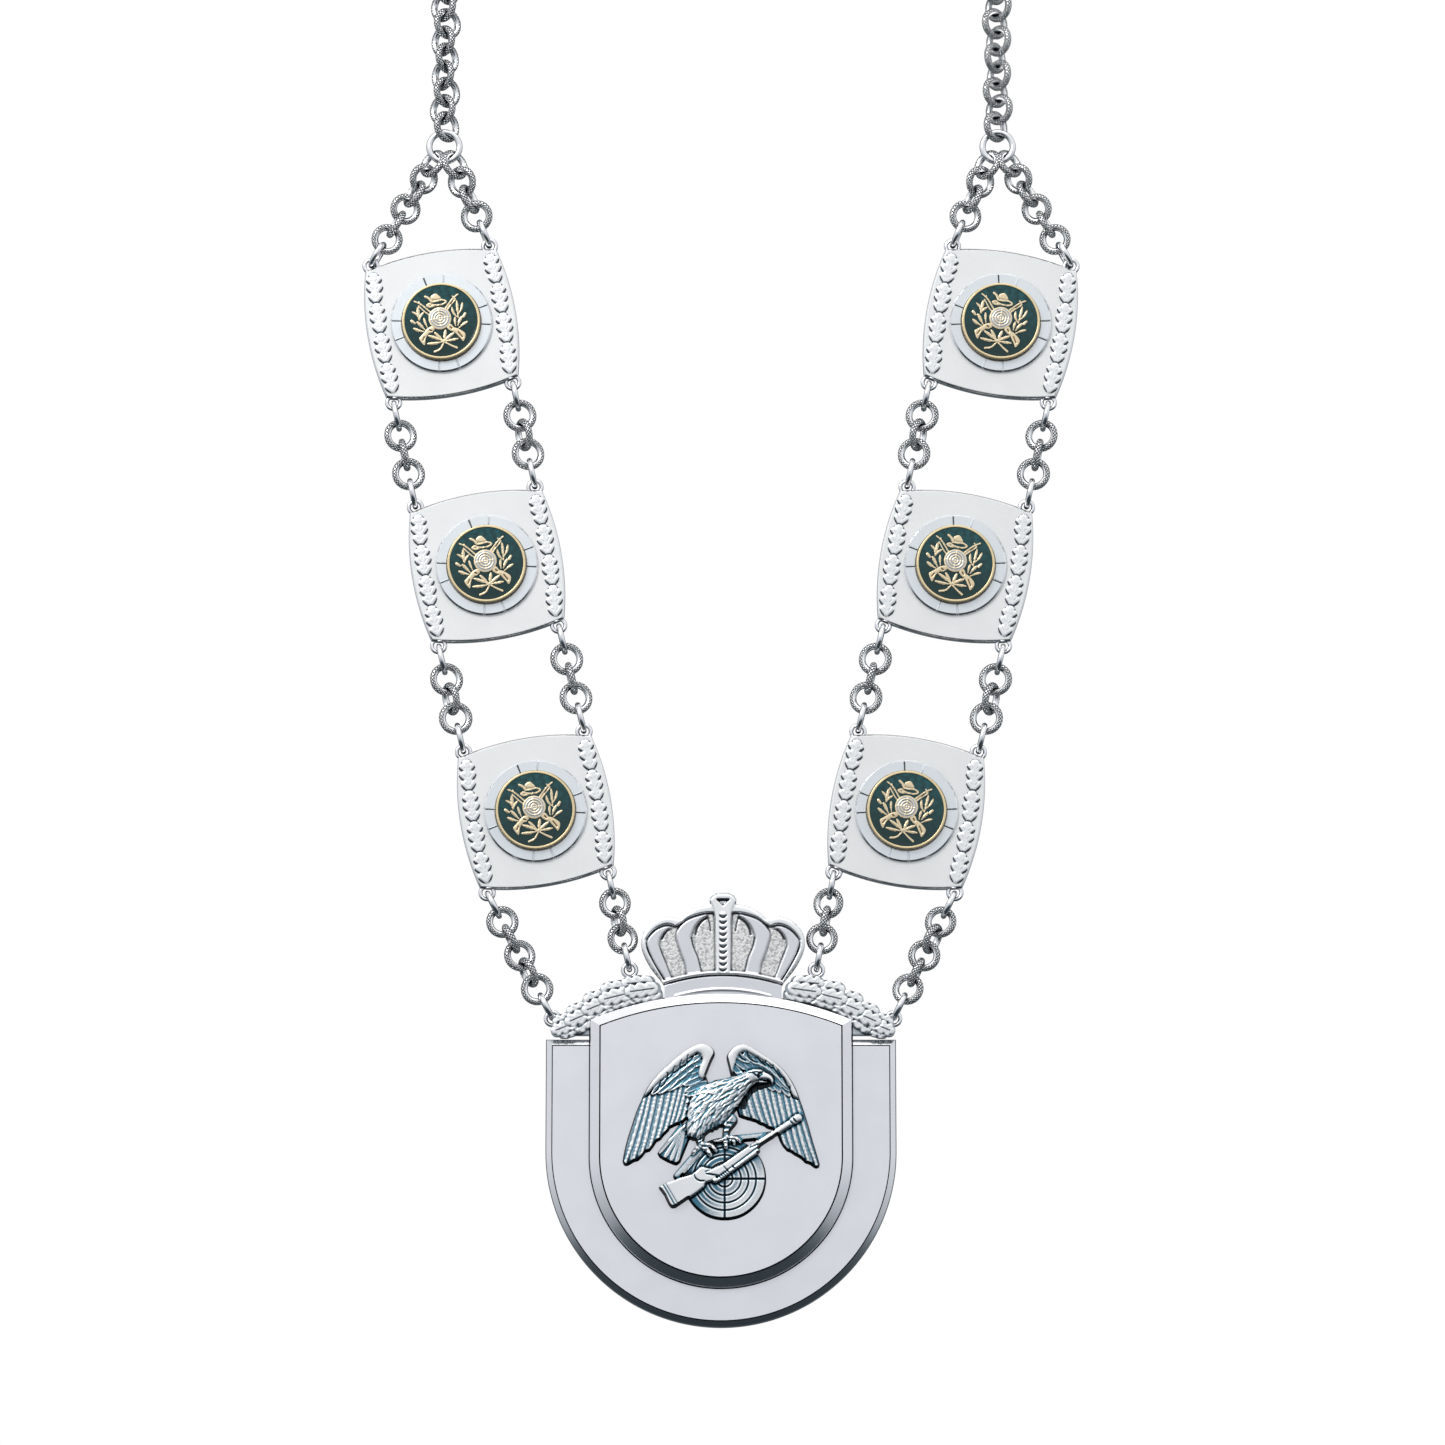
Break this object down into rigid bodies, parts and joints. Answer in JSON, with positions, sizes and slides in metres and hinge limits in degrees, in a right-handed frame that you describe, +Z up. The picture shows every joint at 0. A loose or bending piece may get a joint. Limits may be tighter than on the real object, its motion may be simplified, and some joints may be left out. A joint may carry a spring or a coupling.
{
  "type": "shooting guild chain",
  "caption": "Worn ceremonial necklace: crowned shield pendant with eagle and rifle relief on a chain of enamelled medallion plaques and interlocked links",
  "frame": {"origin": "centre of the closing ring, which lies on the wearer's nape", "axes": "+Z up, the chain hangs down along -Z; the front of the pendant and the plaques faces -Y; +X is to the right as seen from the front"},
  "size_m": [0.2182, 0.1392, 0.5923],
  "materials": {
    "silver": "polished silver plate",
    "matt_silver": "satin silver plate",
    "old_silver": "antiqued silver plate, dark in its recesses",
    "gilt": "polished gilding",
    "green_enamel": "glossy dark green enamel"
  },
  "bodies": {
    "root": {"band_left_bottom": "silver", "band_left_middle": "silver", "band_left_top": "silver", "band_right_bottom": "silver", "band_right_middle": "silver", "band_right_top": "silver", "closing_ring": "silver", "eagle_relief": "old_silver", "enamel_left_bottom": "green_enamel", "enamel_left_middle": "green_enamel", "enamel_left_top": "green_enamel", "enamel_right_bottom": "green_enamel", "enamel_right_middle": "green_enamel", "enamel_right_top": "green_enamel", "fork_chain_left_left": "silver", "fork_chain_left_right": "silver", "fork_chain_right_left": "silver", "fork_chain_right_right": "silver", "junction_ring_left": "silver", "junction_ring_right": "silver", "medallion_left_bottom": "gilt", "medallion_left_middle": "gilt", "medallion_left_top": "gilt", "medallion_right_bottom": "gilt", "medallion_right_middle": "gilt", "medallion_right_top": "gilt", "neck_chain_left": "silver", "neck_chain_right": "silver", "pendant_crown": "silver", "pendant_inner_shield": "silver", "pendant_outer_shield": "silver", "plaque_left_bottom": "matt_silver", "plaque_left_middle": "matt_silver", "plaque_left_top": "matt_silver", "plaque_right_bottom": "matt_silver", "plaque_right_middle": "matt_silver", "plaque_right_top": "matt_silver", "strand_left_lower_left": "silver", "strand_left_lower_right": "silver", "strand_left_pendant_inner": "silver", "strand_left_pendant_outer": "silver", "strand_left_upper_left": "silver", "strand_left_upper_right": "silver", "strand_right_lower_left": "silver", "strand_right_lower_right": "silver", "strand_right_pendant_inner": "silver", "strand_right_pendant_outer": "silver", "strand_right_upper_left": "silver", "strand_right_upper_right": "silver", "wreath_left": "matt_silver", "wreath_right": "matt_silver"}
  },
  "joints": []
}
